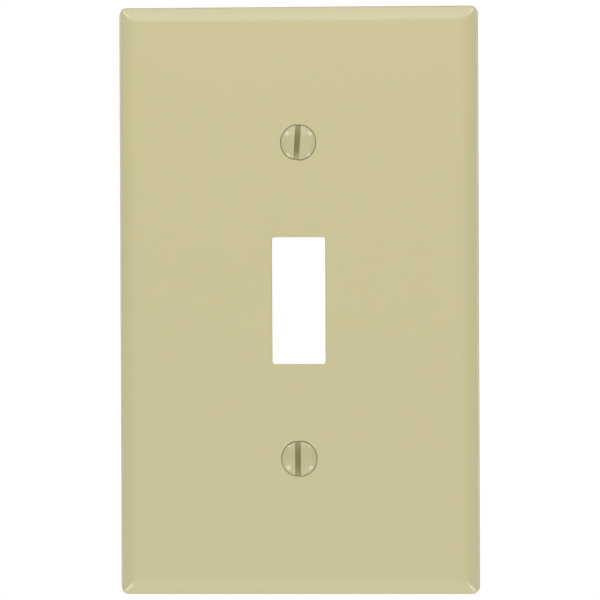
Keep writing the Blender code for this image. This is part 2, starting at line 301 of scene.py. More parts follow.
class Ribs:
    """Heights of the ribs' surface over the cavity's ceiling.

    A rib's section is a rounded profile of height against distance from its middle line;
    where several meet, the lowest height, which stands furthest from the ceiling, wins.
    """

    def __init__(self, sizes, ceiling):
        self.ceiling = ceiling
        self.long_section = self.section(sizes, sizes.long_rib_end)
        self.cross_section = self.section(sizes, sizes.cross_rib_end)
        self.long_places = (-sizes.long_rib_x, sizes.long_rib_x)
        self.cross_places = (-SCREW_Z, -sizes.cross_rib_z, sizes.cross_rib_z, SCREW_Z)

    def section(self, sizes, end):
        """Rounded top, drafted side and fillet: (distance from the middle, height)."""
        half = sizes.rib_width / 2
        foot = half + (self.ceiling - end) * math.tan(sizes.moulding_draft)
        return rounded_profile([(0.0, end), (half, end, half / 3),
                                (foot, self.ceiling, sizes.foot_fillet),
                                (foot + 2 * sizes.foot_fillet, self.ceiling)], steps=3)

    def lines(self, section, places):
        """Grid lines that follow a section on both sides of each place."""
        away = section[:-1, 0]
        return np.concatenate([place + side * away for place in places for side in (-1, 1)])

    def heights(self, across, up):
        """The lowest of all the ribs' sections over a plan position."""
        levels = [np.interp(np.abs(across - x), *self.long_section.T)
                  for x in self.long_places]
        levels += [np.interp(np.abs(up - z), *self.cross_section.T)
                   for z in self.cross_places]
        return np.minimum.reduce(levels)


def fill_lines(features, regions, coarse):
    """Grid lines at all features, with wider gaps divided to their region's spacing."""
    features = np.unique(np.round(features, 9))
    lines = [features[:1]]
    for low, high in zip(features, features[1:]):
        middle = (low + high) / 2
        spacing = min([coarse] + [fine for start, end, fine in regions
                                  if start < middle < end])
        count = max(1, math.ceil((high - low) / spacing - 1e-6))
        lines.append(np.linspace(low, high, count + 1)[1:])
    return np.concatenate(lines)


def between(lines, low, high):
    """The grid lines from low to high, both included."""
    return lines[(lines > low - WELD) & (lines < high + WELD)]


def round_rectangle(xs, zs, half_width, half_height, radius, knees, reaches):
    """Loop round a rectangle with round corners, one point for each grid line.

    A line at distance d from the middle keeps its place up to the knee k. Beyond it, the
    stretch from k to the reach is squeezed or widened in proportion, to end where the
    corner's arc starts. A corner is CORNER_STEPS + 1 points on its arc, with one more
    point before and after it to keep the sides' shading straight.
    """
    def side(lines, half, knee, reach):
        end = half - radius
        inner = np.abs(lines[1:-1])
        beyond = (inner - knee).clip(0) / max(reach - knee, WELD)
        inner = np.sign(lines[1:-1]) * (np.minimum(inner, knee) + beyond * (end - knee))
        hold = max(end - HOLD, (inner[-1] + end) / 2) if radius > 0 else end
        return np.concatenate([[-end, -hold], inner, [hold, end]])

    sides = (side(xs, half_width, knees[0], reaches[0]),
             side(zs, half_height, knees[1], reaches[1]))
    halves = (half_width, half_height)
    turns = np.linspace(math.pi / 2, 0, CORNER_STEPS + 1)
    parts = []
    for quarter in range(4):
        along, out = halves[quarter % 2], halves[1 - quarter % 2]
        run = sides[quarter % 2]
        local = np.stack([
            np.concatenate([run, along - radius + radius * np.cos(turns)]),
            np.concatenate([np.full(run.size, out), out - radius + radius * np.sin(turns)])])
        parts.append(turn_quarter(local, quarter))
    return np.concatenate(parts, axis=1)


def turn_quarter(local, quarter):
    """Turn (along, out) of a side into (x, z): bottom, right, top, left."""
    along, out = local
    return np.stack([(along, -out), (out, along), (-along, out), (-out, -along)][quarter])


def frame_loop(xs, zs):
    """Loop of the points where grid lines end on a patch, with each corner twice."""
    return np.concatenate([
        np.stack([xs, np.full(xs.size, zs[0])]),
        np.stack([np.full(zs.size, xs[-1]), zs]),
        np.stack([xs[::-1], np.full(xs.size, zs[-1])]),
        np.stack([np.full(zs.size, xs[0]), zs[::-1]])], axis=1)


def onto_circle(loop, centre, half, knee, radius):
    """Move a square loop's points to a circle.

    On the upright sides a point keeps its height up to the knee, so that a rib stays
    straight, and the rest of the side spreads evenly to 45 degrees. On the level sides
    all of it spreads evenly.
    """
    if radius == 0:
        return np.tile(np.array(centre)[:, None], loop.shape[1])
    offset = loop - np.array(centre)[:, None]
    upright = np.abs(np.abs(offset[0]) - half) < WELD
    along = np.where(upright, offset[1], offset[0])
    held = np.where(upright, knee, 0.0)
    knee_turn = np.arcsin(held / radius)
    beyond = (np.abs(along) - held).clip(0) / (half - held)
    turn = np.arcsin(np.minimum(np.abs(along), held) / radius)
    turn = np.sign(along) * (turn + beyond * (math.pi / 4 - knee_turn))
    out, side = radius * np.cos(turn), radius * np.sin(turn)
    across = np.where(upright, np.sign(offset[0]) * out, side)
    up = np.where(upright, side, np.sign(offset[1]) * out)
    return np.stack([across + centre[0], up + centre[1]])


def border_rows(sizes, ceiling):
    """Rows (inset, height, corner radius, on the back) of the plate's border.

    The bevel's slope grows from nothing at the face to the steepest at its outer end: at
    a share u of the width it has dropped width * tan(slope) * (u^2 - u^3 / 3). An arc
    leads into the drafted side wall, and a rounded profile follows the rim and cavity.
    """
    part = np.linspace(0, 1, BEVEL_STEPS + 1)
    steep = math.tan(sizes.bevel_slope)
    out = sizes.bevel_width * part
    drop = sizes.bevel_width * steep * (part ** 2 - part ** 3 / 3)
    slopes = np.linspace(sizes.bevel_slope, math.pi / 2 - sizes.side_draft,
                         2 * ARC_STEPS + 1)[1:]
    arc_out = out[-1] + sizes.edge_radius * (np.sin(slopes) - math.sin(sizes.bevel_slope))
    arc_drop = drop[-1] + sizes.edge_radius * (math.cos(sizes.bevel_slope) - np.cos(slopes))
    out, drop = np.concatenate([out, arc_out]), np.concatenate([drop, arc_drop])
    full_out = out[-1] + (DEPTH - drop[-1]) * math.tan(sizes.side_draft)
    front = np.stack([full_out - out, DEPTH - drop], axis=1)
    cavity = sizes.rim_width + ceiling * math.tan(sizes.cavity_draft)
    back = rounded_profile([
        tuple(front[-1]), (0.0, 0.0, sizes.rim_edge),
        (sizes.rim_width, 0.0, sizes.rim_edge), (cavity, ceiling, sizes.cavity_fillet),
        (BORDER, ceiling)])[1:]
    front_radius = np.maximum(sizes.corner_radius - front[:, 0], sizes.mitre_radius)
    back_radius = np.interp(back[:, 0], [0.0, sizes.rim_width, BORDER - MILLIMETRE, BORDER],
                            [sizes.corner_radius, sizes.corner_radius * 0.7,
                             sizes.corner_radius * 0.7, 0.0])
    rows = [(BORDER, DEPTH, 0.0, False)]
    for side, radii, on_back in ((front, front_radius, False), (back, back_radius, True)):
        rows += [(*point, radius, on_back) for point, radius in zip(side, radii)]
    return rows


def plate_lines(ribs):
    """The upright and the level grid lines: edges of patches, ribs, and even fillings."""
    patches_x = [(-ISLAND, ISLAND, FINE)]
    patches_x += [(x - PIN_PATCH, x + PIN_PATCH, FINEST) for x, _ in PIN_PLACES]
    patches_z = [(side * SCREW_Z - ISLAND, side * SCREW_Z + ISLAND, FINE)
                 for side in (-1, 1)]
    patches_z += [(z - PIN_PATCH, z + PIN_PATCH, FINEST) for _, z in PIN_PLACES]
    patches_z += [(-OPENING_ISLAND, OPENING_ISLAND, 2 * FINE)]
    lines = []
    for patches, reach, section, places in (
            (patches_x, HALF_WIDTH - BORDER, ribs.long_section, ribs.long_places),
            (patches_z, HALF_HEIGHT - BORDER, ribs.cross_section, ribs.cross_places)):
        edges = [edge for patch in patches for edge in patch[:2]] + [-reach, reach]
        features = np.concatenate([edges, ribs.lines(section, places)])
        lines.append(fill_lines(features, patches, COARSE))
    return lines


def row(plan, height, ribs=None):
    """World points over a plan at a height, or on the ribs where they stand lower."""
    if ribs:
        height = np.minimum(height, ribs.heights(*plan))
    return place(*plan, height)


def cover_plate(sizes):
    """The whole plate: two grids, a border, three through holes and the pin marks."""
    ceiling = DEPTH - sizes.face_thickness
    ribs = Ribs(sizes, ceiling)
    xs, zs = plate_lines(ribs)
    reach = (HALF_WIDTH - BORDER, HALF_HEIGHT - BORDER)
    border = [row(round_rectangle(xs, zs, HALF_WIDTH - inset, HALF_HEIGHT - inset, radius,
                                  reach, reach), height, ribs if on_back else None)
              for inset, height, radius, on_back in border_rows(sizes, ceiling)]

    through = [(0.0, OPENING_ISLAND), (-SCREW_Z, ISLAND), (SCREW_Z, ISLAND)]
    gaps = [(-ISLAND, ISLAND, z - tall, z + tall) for z, tall in through]
    pin_gaps = [(x - PIN_PATCH, x + PIN_PATCH, z - PIN_PATCH, z + PIN_PATCH)
                for x, z in PIN_PLACES]
    grid = np.meshgrid(xs, zs)
    sheets = [(np.stack(border), True, None),
              (row(grid, DEPTH), False, cells_outside(xs, zs, gaps)),
              (row(grid, ceiling, ribs), False, cells_outside(xs, zs, gaps + pin_gaps)),
              (opening_sheet(sizes, xs, zs, ribs), True, None)]
    sheets += [(screw_hole_sheet(sizes, xs, zs, side * SCREW_Z, ribs), True, None)
               for side in (-1, 1)]
    sheets += [(pin_mark_sheet(sizes, ceiling, xs, zs, centre), True, None)
               for centre in PIN_PLACES]
    return weld_sheets("cover_plate", sheets)


def cells_outside(xs, zs, gaps):
    """Which cells of the grid lie outside every gap (low x, high x, low z, high z)."""
    middle_x, middle_z = np.meshgrid((xs[1:] + xs[:-1]) / 2, (zs[1:] + zs[:-1]) / 2)
    inside = [(middle_x > x0) & (middle_x < x1) & (middle_z > z0) & (middle_z < z1)
              for x0, x1, z0, z1 in gaps]
    return ~np.logical_or.reduce(inside)


def patch_sheet(sizes, edge, profile, loop, outer, ribs):
    """Rows of a patch with a hole: its edge in front, the profile's loops, its edge behind.

    The profile is (size, height), and loop gives the plan of a row of that size. From the
    outer size on, behind the face, a row follows the ribs.
    """
    behind = (profile[:, 0] > outer - 3 * sizes.rim_edge) & (
        profile[:, 1] < DEPTH - sizes.face_thickness / 2)
    rows = [row(edge, DEPTH)]
    rows += [row(loop(size), height, ribs if on_back else None)
             for (size, height), on_back in zip(profile, behind)]
    rows.append(row(edge, ribs.ceiling, ribs))
    return np.stack(rows)


def opening_sheet(sizes, xs, zs, ribs):
    """The toggle opening and its collar, from the face through to the ceiling.

    Rows follow a rounded profile of (offset from the opening's outline, height); a row's
    corner radius grows by half its offset.
    """
    xs, zs = between(xs, -ISLAND, ISLAND), between(zs, -OPENING_ISLAND, OPENING_ISLAND)
    spread = math.tan(sizes.opening_draft)
    edge_height = DEPTH - sizes.opening_edge
    collar_foot = (sizes.collar_wall
                   + (ribs.ceiling - sizes.collar_end) * math.tan(sizes.moulding_draft))
    profile = rounded_profile([
        (2 * sizes.opening_edge, DEPTH),
        (-sizes.opening_edge * spread, DEPTH, sizes.opening_edge),
        ((edge_height - sizes.collar_end) * spread, sizes.collar_end, sizes.rim_edge),
        (sizes.collar_wall, sizes.collar_end, 2 * sizes.rim_edge),
        (collar_foot, ribs.ceiling, sizes.foot_fillet),
        (collar_foot + 1.5 * sizes.foot_fillet, ribs.ceiling)])
    reach = (ISLAND, OPENING_ISLAND)

    def loop(offset):
        return round_rectangle(xs, zs, sizes.opening_width / 2 + offset,
                               sizes.opening_height / 2 + offset,
                               sizes.opening_corner + max(offset, 0.0) / 2,
                               (0.0, COLLAR_KNEE), reach)

    edge = round_rectangle(xs, zs, *reach, 0.0, reach, reach)
    return patch_sheet(sizes, edge, profile, loop, sizes.collar_wall, ribs)


def screw_hole_sheet(sizes, xs, zs, centre_z, ribs):
    """A countersunk hole and its boss: circles along a rounded (radius, height) profile."""
    screws = bpy.context.scene.screw_sizes
    cone_end = DEPTH - ((sizes.countersink_radius - sizes.clearance_radius)
                        / math.tan(screws.cone_angle))
    boss_foot = (sizes.boss_radius
                 + (ribs.ceiling - sizes.boss_end) * math.tan(sizes.moulding_draft))
    profile = rounded_profile([
        (sizes.countersink_radius + 3 * sizes.countersink_edge, DEPTH),
        (sizes.countersink_radius, DEPTH, sizes.countersink_edge),
        (sizes.clearance_radius, cone_end, sizes.countersink_edge),
        (sizes.clearance_radius, sizes.boss_end, sizes.rim_edge),
        (sizes.boss_radius, sizes.boss_end, 2 * sizes.rim_edge),
        (boss_foot, ribs.ceiling, sizes.foot_fillet),
        (boss_foot + 1.5 * sizes.foot_fillet, ribs.ceiling)])
    edge = frame_loop(between(xs, -ISLAND, ISLAND),
                      between(zs, centre_z - ISLAND, centre_z + ISLAND))

    def loop(radius):
        return onto_circle(edge, (0.0, centre_z), ISLAND, STRAIGHT_NEAR_RIB, radius)

    return patch_sheet(sizes, edge, profile, loop, sizes.boss_radius, ribs)


def pin_mark_sheet(sizes, ceiling, xs, zs, centre):
    """A shallow round dent in the ceiling, left by an ejector pin: circles along a
    rounded (radius, height) profile."""
    edge = frame_loop(between(xs, centre[0] - PIN_PATCH, centre[0] + PIN_PATCH),
                      between(zs, centre[1] - PIN_PATCH, centre[1] + PIN_PATCH))
    floor = ceiling + sizes.pin_mark_depth
    soft = sizes.pin_mark_depth / 2
    profile = rounded_profile([
        (sizes.pin_mark_radius + 3 * soft, ceiling), (sizes.pin_mark_radius, ceiling, soft),
        (sizes.pin_mark_radius - soft / 4, floor, soft / 2),
        (sizes.pin_mark_radius / 2, floor)], steps=3)
    rows = [row(edge, ceiling)]
    rows += [row(onto_circle(edge, centre, PIN_PATCH, 0.0, radius), height)
             for radius, height in [*profile, (0.0, floor)]]
    return np.stack(rows)


# ---------------------------------------------------------------------------
# Screws
# ---------------------------------------------------------------------------

HEAD_RADIUS = HEAD_HIGH.x
TIP_Y = HEAD_HIGH.y
DISC_EDGE = 0.96          # share of the head's radius where dome meets rounded edge
DISC_ROWS = 45
SIDE_COLUMNS = 15         # columns from the slot's edge to the head's side
FADE_TURNS = 0.6          # over which the thread rises from the shank
REACH_ROUNDS = 12         # of trial and correction to find where the slot ends


class ScrewShape:
    """Grids of one screw in its own axes (u across the slot, v along it, w outwards).

    The head and shank are turned shapes: circles of columns along a profile of (radius,
    w). The columns are the ends of lines that run along the slot over the dome, so the
    slot's edges, walls and floor are lines of their own, each with its own height.
    """

    def __init__(self, sizes, offset):
        self.sizes = sizes
        self.tip_w = -TIP_Y - DEPTH - sizes.proud
        self.sphere = (HEAD_RADIUS ** 2 + sizes.dome ** 2) / (2 * sizes.dome)
        self.disc_radius = DISC_EDGE * HEAD_RADIUS
        cone = (HEAD_RADIUS - sizes.root_radius) / math.tan(sizes.cone_angle)
        self.neck_w = -sizes.land - cone - sizes.neck
        edge_w = float(self.dome(self.disc_radius))
        self.outline = rounded_profile([
            (sizes.root_radius, self.neck_w),
            (sizes.root_radius, self.neck_w + sizes.neck, sizes.neck / 4),
            (HEAD_RADIUS, -sizes.land, sizes.land / 3), (HEAD_RADIUS, 0.0, sizes.land / 2),
            (self.disc_radius, edge_w)])
        self.edge_w = edge_w
        self.set_lines(offset)

    def dome(self, radius):
        """Height of the dome: a sphere's cap that starts at the land's top edge."""
        rim = math.sqrt(self.sphere ** 2 - HEAD_RADIUS ** 2)
        return np.sqrt(self.sphere ** 2 - np.square(radius)) - rim

    def half_lines(self, offset):
        """Lines on one side of the slot's middle, which stands at an offset: four rows.

        The rows are place u, drop below the dome, own height, and whether the line
        belongs to the slot. Over the slot's edge the lines follow a quarter circle, and
        inside the slot they have heights of their own: a corner radius at the wall's foot
        and a flat floor. Outside they stand at even angles.
        """
        sizes = self.sizes
        half, edge = sizes.slot_width / 2, sizes.slot_edge
        floor = sizes.dome - sizes.slot_depth
        foot = 1.5 * edge
        turn = np.linspace(0, math.pi / 2, ARC_STEPS)
        floor_u = np.linspace(0, half - foot, 4)[:-1]
        foot_u = half - edge / 4 - foot + foot * np.sin(turn)
        edge_u = half + edge * (1 - np.cos(turn))
        first = math.asin((offset + half + edge + HOLD) / self.disc_radius)
        side_u = self.disc_radius * np.sin(np.linspace(first, math.pi / 2, SIDE_COLUMNS))
        parts = [(floor_u + offset, 0.0, floor, 1.0),
                 (foot_u + offset, 0.0, floor + foot * (1 - np.cos(turn)), 1.0),
                 (edge_u + offset, edge * (1 - np.sin(turn)), np.inf, 1.0),
                 (side_u, 0.0, np.inf, 0.0)]
        return np.hstack([np.stack(np.broadcast_arrays(*part)) for part in parts])

    def set_lines(self, offset):
        """All lines, the height (cap) and the radius (reach) where each leaves the head.

        The slot's floor runs out through the head's side below the dome, so each reach is
        found by trying the floor's height there against the side's outline, in turn.
        """
        right, left = self.half_lines(offset), self.half_lines(-offset)
        left[0] *= -1
        self.u, self.drop, self.height, zone = np.hstack([left[:, :0:-1], right])
        self.zone = zone > 0
        self.reach = np.full(self.u.size, HEAD_RADIUS)
        for _ in range(REACH_ROUNDS):
            end = np.sqrt(np.minimum(self.reach, self.disc_radius) ** 2 - self.u ** 2)
            self.cap = np.minimum(self.floor_height(end), self.edge_w - self.drop)
            self.reach = np.where(
                self.cap < 0, np.interp(self.cap, self.outline[:, 1], self.outline[:, 0]),
                HEAD_RADIUS)
        self.slot_end = self.reach.min()

    def floor_height(self, v):
        """The slot's floor rises towards its ends as bow * (v / head radius)^2."""
        return self.height + self.sizes.slot_bow * (v / HEAD_RADIUS) ** 2

    def disc(self):
        """The dome and slot: a row for each share of a line's half length."""
        share_v = np.sin(np.linspace(-math.pi / 2, math.pi / 2, DISC_ROWS))[:, None]
        limit = np.minimum(self.disc_radius, self.reach)
        chord = np.sqrt((limit ** 2 - self.u ** 2).clip(0))
        v = share_v * chord
        u = np.broadcast_to(self.u, v.shape)
        w = np.minimum(self.floor_height(v), self.dome(np.hypot(u, v)) - self.drop)
        w[[0, -1]] = np.minimum(self.cap, w[[0, -1]])
        return np.stack([u, v, w], axis=-1)

    def loop_columns(self):
        """Line numbers once round the head, clockwise, and the side of v they are on."""
        count = self.u.size
        numbers = np.concatenate([np.arange(count), np.arange(count - 2, 0, -1)])
        signs = np.where(np.arange(numbers.size) < count, 1.0, -1.0)
        return numbers, signs

    def ring(self, radius, w):
        """One circle of columns, cut down where the slot's lines are lower.

        A column stands at u scaled by the circle's radius over its anchor, the radius at
        which it has its own u, and v = sqrt(radius^2 - u^2).
        """
        numbers, signs = self.loop_columns()
        u, cap, reach = self.u[numbers], self.cap[numbers], self.reach[numbers]
        limit = np.where(w > cap, np.minimum(radius, reach), radius)
        w = np.minimum(w, cap)
        anchor = np.where(self.zone[numbers], np.maximum(limit, self.slot_end),
                          self.disc_radius)
        across = limit * u / anchor
        along = signs * np.sqrt((limit ** 2 - across ** 2).clip(0))
        return np.stack([across, along, w], axis=-1)

    def angles(self):
        """Each column's clockwise angle round the shank, from the slot's line."""
        numbers, signs = self.loop_columns()
        sine = self.u / np.where(self.zone, self.slot_end, self.disc_radius)
        turn = np.arcsin(np.clip(sine[numbers], -1, 1))
        return np.where(signs > 0, turn, math.pi - turn)

    def thread(self):
        """Right-hand thread: a strip one pitch wide, wound clockwise into the wall.

        At a turn a and a share s of the pitch, w = start - pitch * (a + s) and the radius
        is the root's plus the section's height, which fades out at both ends. The section
        climbs from 1/8 to 7/16 of the pitch and falls from 9/16 to 7/8. Each end is
        closed by a fan of helices that runs from a flat circle to the strip's edge.
        """
        sizes = self.sizes
        pitch, depth = sizes.pitch, sizes.thread_radius - sizes.root_radius
        section = rounded_profile([
            (0.0, 0.0), (pitch / 8, 0.0, depth / 9), (pitch * 7 / 16, depth, depth / 18),
            (pitch * 9 / 16, depth, depth / 18), (pitch * 7 / 8, 0.0, depth / 9),
            (pitch, 0.0)], steps=3)
        end_w = self.tip_w + sizes.tip_chamfer
        room = self.neck_w - end_w
        turns = int(room / pitch - 0.4) - 1
        start = self.neck_w - (room - (turns + 1) * pitch) / 2
        once = self.angles()
        winds = np.arange(turns)[:, None] * 2 * math.pi
        turn = np.append((once[None] + winds).ravel(), once[0] + turns * 2 * math.pi)
        climbed = (turn - once[0]) / (2 * math.pi)
        fade = np.clip(np.minimum(climbed, turns - climbed) / FADE_TURNS, 0, 1)
        fade = fade * fade * (3 - 2 * fade)
        radius = sizes.root_radius + section[:, 1:] * fade
        strip = self.wound(radius, turn, start - pitch * climbed - section[:, :1])
        first = turn[:once.size + 1]
        part = climbed[:once.size + 1]
        head_fan = start - section[:, :1] * part
        tip_fan = start - pitch * (turns + 1) + (pitch - section[:, :1]) * (1 - part)
        neck_circle, end_circle = np.full((2, first.size), [[self.neck_w], [end_w]])
        return [strip] + [self.wound(sizes.root_radius, first, np.vstack(heights))
                          for heights in ((neck_circle, head_fan), (tip_fan, end_circle))]

    def wound(self, radius, turn, w):
        """Points at a radius and a clockwise turn about the axis, at a height w."""
        across, along = radius * np.sin(turn), radius * np.cos(turn)
        return np.stack(np.broadcast_arrays(across, along, w), axis=-1)

    def tip(self):
        """The chamfered end, from the thread's last circle to the middle of the end."""
        sizes = self.sizes
        profile = rounded_profile([
            (sizes.root_radius, self.tip_w + sizes.tip_chamfer),
            (sizes.tip_radius, self.tip_w, sizes.tip_chamfer / 5),
            (sizes.tip_radius / 2, self.tip_w)])
        profile = np.vstack([profile, [0.0, self.tip_w]])
        return np.stack([self.wound(radius, self.angles(), w) for radius, w in profile])

    def sheets(self):
        """Every grid of the screw, as (points, around, kept)."""
        rings = np.stack([self.ring(radius, w) for radius, w in self.outline])
        return [(self.disc(), False, None), (rings, True, None), (self.tip(), True, None),
                *((wound, False, None) for wound in self.thread())]


def oval_head_screw(name, body, sizes, turn, offset):
    """One screw, turned clockwise about its axis and put in its hole."""
    shape = ScrewShape(sizes, -offset)
    across, up = math.cos(turn), math.sin(turn)
    centre = SCREW_AXES[body]
    sheets = []
    for points, around, kept in shape.sheets():
        u, v, w = np.moveaxis(points, -1, 0)
        world = place(centre[0] + u * across + v * up, centre[2] - u * up + v * across,
                      DEPTH + sizes.proud + w)
        sheets.append((world, around, kept))
    return weld_sheets(name, sheets, sharp_degrees=40)


# ---------------------------------------------------------------------------
# Materials
# ---------------------------------------------------------------------------

POLISHED_FROM = 0.7              # share of the plate's depth at which the polish begins
SLOT_SHADE_DROP = 0.2 * MILLIMETRE   # below the land, where the painted slot shade is half on
ENAMEL_DROP = 1.3 * MILLIMETRE   # below the land, where the enamel ends


def add_node(tree, kind, **values):
    """A node with its properties and its unlinked inputs set."""
    node = tree.nodes.new(kind)
    for key, value in values.items():
        if key in node.inputs:
            node.inputs[key].default_value = value
        else:
            setattr(node, key, value)
    return node


def calculate(tree, operation, *terms, clamp=False):
    """Result of a Math node whose terms are sockets or plain numbers."""
    node = add_node(tree, "ShaderNodeMath", operation=operation, use_clamp=clamp)
    for socket, term in zip(node.inputs, terms):
        if isinstance(term, float):
            socket.default_value = term
        else:
            tree.links.new(term, socket)
    return node.outputs[0]


def object_noise(tree, scale, detail, roughness):
    """Noise from 0 to 1 on the piece's own coordinates."""
    place_node = add_node(tree, "ShaderNodeTexCoord")
    noise = add_node(tree, "ShaderNodeTexNoise", Detail=detail, Roughness=roughness)
    tree.links.new(place_node.outputs["Object"], noise.inputs["Vector"])
    tree.links.new(scale, noise.inputs["Scale"])
    return noise.outputs["Fac"]


def shader_group(name, inputs, output, kind):
    """An empty shader node group, the sockets it is given, and the socket of its result."""
    group = bpy.data.node_groups.new(name, "ShaderNodeTree")
    for label, default in inputs.items():
        given_kind = "NodeSocketColor" if label == "Colour" else "NodeSocketFloat"
        socket = group.interface.new_socket(label, in_out="INPUT", socket_type=given_kind)
        socket.default_value = default
    group.interface.new_socket(output, in_out="OUTPUT", socket_type=kind)
    given = group.nodes.new("NodeGroupInput").outputs
    return group, given, group.nodes.new("NodeGroupOutput").inputs[output]


def colour_drift_group():
    """Faint, broad changes of tone, with finer mottling inside them."""
    group, given, result = shader_group(
        "colour drift",
        {"Colour": (0.8, 0.8, 0.8, 1.0), "Patches per metre": 60.0, "Amount": 0.03},
        "Colour", "NodeSocketColor")
    noise = object_noise(group, given["Patches per metre"], 4.0, 0.6)
    swing = calculate(group, "SUBTRACT", noise, 0.5)
    swing = calculate(group, "MULTIPLY", swing, given["Amount"])
    toned = add_node(group, "ShaderNodeHueSaturation")
    group.links.new(given["Colour"], toned.inputs["Color"])
    group.links.new(calculate(group, "ADD", swing, 1.0), toned.inputs["Value"])
    group.links.new(toned.outputs["Color"], result)
    return group


def skin_group():
    """Height of a moulded or sprayed skin: low waves with a fine grain on top."""
    group, given, result = shader_group(
        "skin",
        {"Waves per metre": 700.0, "Grains per metre": 6000.0, "Grain share": 0.3},
        "Height", "NodeSocketFloat")
    waves = object_noise(group, given["Waves per metre"], 2.0, 0.5)
    grain = object_noise(group, given["Grains per metre"], 3.0, 0.6)
    grain = calculate(group, "MULTIPLY", grain, given["Grain share"])
    group.links.new(calculate(group, "ADD", waves, grain), result)
    return group


def depth_mask_group():
    """A mask that rises from 0 to 1 where y passes a depth, with a ragged border.

    It is (y + raggedness * (noise - 1/2) - depth) / softness + 1/2, held within 0 and 1.
    """
    group, given, result = shader_group(
        "depth mask",
        {"Depth": 0.0, "Softness": 0.0002, "Raggedness": 0.0002, "Tears per metre": 1500.0},
        "Mask", "NodeSocketFloat")
    place_node = add_node(group, "ShaderNodeTexCoord")
    split = add_node(group, "ShaderNodeSeparateXYZ")
    group.links.new(place_node.outputs["Object"], split.inputs[0])
    noise = object_noise(group, given["Tears per metre"], 3.0, 0.6)
    swing = calculate(group, "SUBTRACT", noise, 0.5)
    ragged = calculate(group, "MULTIPLY", swing, given["Raggedness"])
    moved = calculate(group, "ADD", split.outputs["Y"], ragged)
    past = calculate(group, "SUBTRACT", moved, given["Depth"])
    scaled = calculate(group, "DIVIDE", past, given["Softness"])
    group.links.new(calculate(group, "ADD", scaled, 0.5, clamp=True), result)
    return group


def group_node(tree, name, **values):
    """Result of a shared group that is placed in a material with its own values."""
    makers = {"colour drift": colour_drift_group, "skin": skin_group,
              "depth mask": depth_mask_group}
    node = tree.nodes.new("ShaderNodeGroup")
    node.node_tree = bpy.data.node_groups.get(name) or makers[name]()
    for key, value in values.items():
        node.inputs[key.replace("_", " ")].default_value = value
    return node.outputs[0]


def drifting(tree, colour, patches, amount):
    """A colour whose tone drifts, with so many patches to the metre."""
    return group_node(tree, "colour drift", Colour=(*colour, 1.0),
                      Patches_per_metre=patches, Amount=amount)


def principled(name):
    """A new material and its Principled shader."""
    material = bpy.data.materials.new(name)
    material.use_nodes = True
    return material, material.node_tree.nodes["Principled BSDF"]


def blend_values(tree, mask, low, high):
    """A number that goes from low to high with a mask."""
    node = add_node(tree, "ShaderNodeMapRange")
    node.inputs["To Min"].default_value = low
    node.inputs["To Max"].default_value = high
    tree.links.new(mask, node.inputs["Value"])
    return node.outputs["Result"]


def blend_colours(tree, mask, low, high):
    """A colour that goes from low to high with a mask."""
    node = add_node(tree, "ShaderNodeMix", data_type="RGBA")
    tree.links.new(mask, node.inputs["Factor"])
    colours = [socket for socket in node.inputs if socket.type == "RGBA"]
    tree.links.new(low, colours[0])
    tree.links.new(high, colours[1])
    return [socket for socket in node.outputs if socket.type == "RGBA"][0]


def skin_normal(tree, strength, distance, **values):
    """Normal of a bump made by the shared skin."""
    node = add_node(tree, "ShaderNodeBump", Strength=strength, Distance=distance)
    tree.links.new(group_node(tree, "skin", **values), node.inputs["Height"])
    return node.outputs["Normal"]


def feed(shader, **sources):
    """Link each source to the shader's socket of that name."""
    for key, source in sources.items():
        shader.id_data.links.new(source, shader.inputs[key.replace("_", " ")])


def ivory_plastic(finish):
    """Moulded ivory plastic: a polished front and a duller, grained back."""
    material, shader = principled("ivory plastic")
    tree = material.node_tree
    hidden = group_node(tree, "depth mask", Depth=-DEPTH * POLISHED_FROM,
                        Softness=0.0004)
    feed(shader, Base_Color=drifting(tree, finish.plastic, 45.0, 0.02),
         Roughness=blend_values(tree, hidden, finish.gloss, finish.matt),
         Normal=skin_normal(tree, 0.25, 0.00002, Waves_per_metre=650.0,
                            Grains_per_metre=5200.0, Grain_share=0.35))
    shader.inputs["IOR"].default_value = 1.54
    return material


def painted_steel(finish, land_height):
    """Steel screw: enamel on the head, darkened in the slot by painted shade, bright zinc
    further down.
    """
    material, shader = principled("painted steel")
    tree = material.node_tree
    # Painted shade: this mask darkens the enamel below the land, down in the slot, where
    # shade falls.
    slot_shade_mask = group_node(tree, "depth mask", Depth=SLOT_SHADE_DROP - land_height,
                      Softness=0.0009, Raggedness=0.0002, Tears_per_metre=2500.0)
    bare = group_node(tree, "depth mask", Depth=ENAMEL_DROP - land_height,
                      Softness=0.00015, Raggedness=0.0006, Tears_per_metre=2500.0)
    painted = blend_colours(tree, slot_shade_mask, drifting(tree, finish.paint, 900.0, 0.05),
                            drifting(tree, finish.slot_shade, 1200.0, 0.15))
    whole = blend_colours(tree, bare, painted, drifting(tree, finish.zinc, 1500.0, 0.25))
    feed(shader, Base_Color=whole, Metallic=bare,
         Roughness=blend_values(tree, bare, finish.enamel_gloss, finish.zinc_gloss),
         Normal=skin_normal(tree, 0.3, 0.00002, Waves_per_metre=1800.0,
                            Grains_per_metre=9000.0, Grain_share=0.3))
    return material


def floor_card(finish):
    """Pale card with a faint tooth."""
    material, shader = principled("pale card")
    tree = material.node_tree
    feed(shader, Base_Color=drifting(tree, finish.floor, 12.0, 0.02),
         Normal=skin_normal(tree, 0.2, 0.0001, Waves_per_metre=300.0,
                            Grains_per_metre=2500.0, Grain_share=0.6))
    shader.inputs["Roughness"].default_value = 0.9
    shader.inputs["Emission Color"].default_value = (*finish.floor, 1.0)
    shader.inputs["Emission Strength"].default_value = FLOOR_GLOW
    return material


# ---------------------------------------------------------------------------
# Studio
# ---------------------------------------------------------------------------

